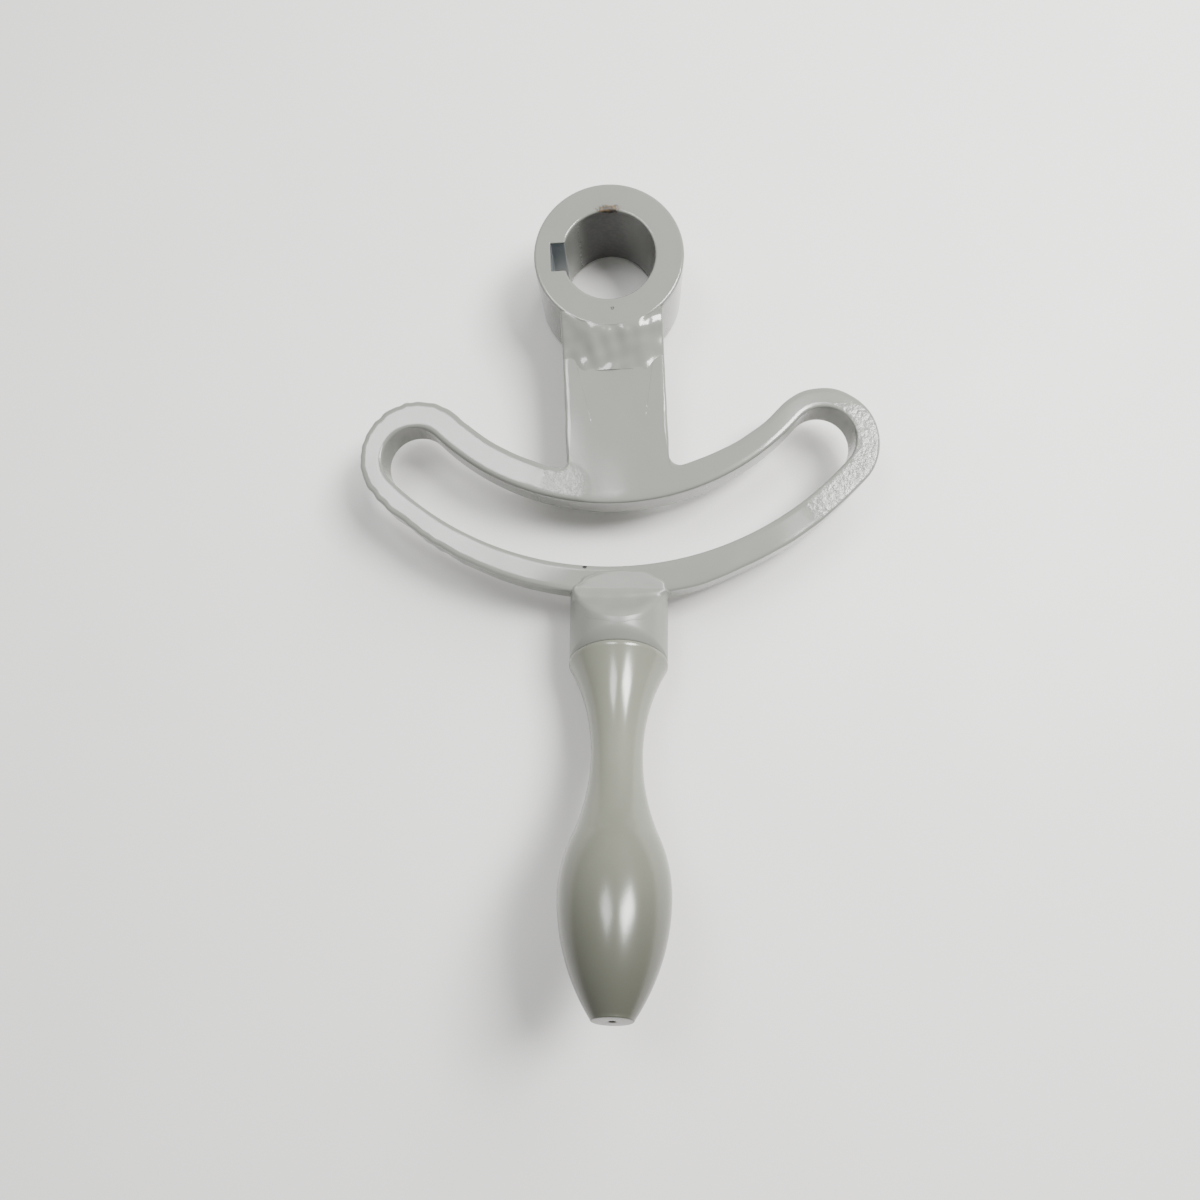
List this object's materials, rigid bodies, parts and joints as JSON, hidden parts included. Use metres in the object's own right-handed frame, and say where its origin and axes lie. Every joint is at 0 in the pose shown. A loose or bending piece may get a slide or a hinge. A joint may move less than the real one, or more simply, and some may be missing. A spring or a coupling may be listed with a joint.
{
  "type": "control lever",
  "caption": "Painted steel control lever: a keyed hub, an arm with an arc-slotted quadrant, and a turned handle cranked to the front.",
  "frame": {"origin": "on the axis of the hub's bore, at the hub's back face", "axes": "+Z along the bore to the front of the lever, -Y along the arm towards the handle, +X to the right as the front is seen with the handle down"},
  "size_m": [0.1396, 0.213, 0.0608],
  "materials": {
    "lever_enamel": "gloss grey enamel on steel, slightly orange-peeled",
    "weld_enamel": "gloss grey enamel on dressed weld metal",
    "handle_enamel": "smooth gloss grey-green enamel on turned steel"
  },
  "bodies": {
    "root": {"hub": "lever_enamel", "lever_plate": "lever_enamel", "handle_socket": "lever_enamel", "handle": "handle_enamel", "hub_weld_front": "weld_enamel", "hub_weld_back": "weld_enamel", "socket_weld_front": "weld_enamel", "socket_weld_back": "weld_enamel"}
  },
  "joints": []
}
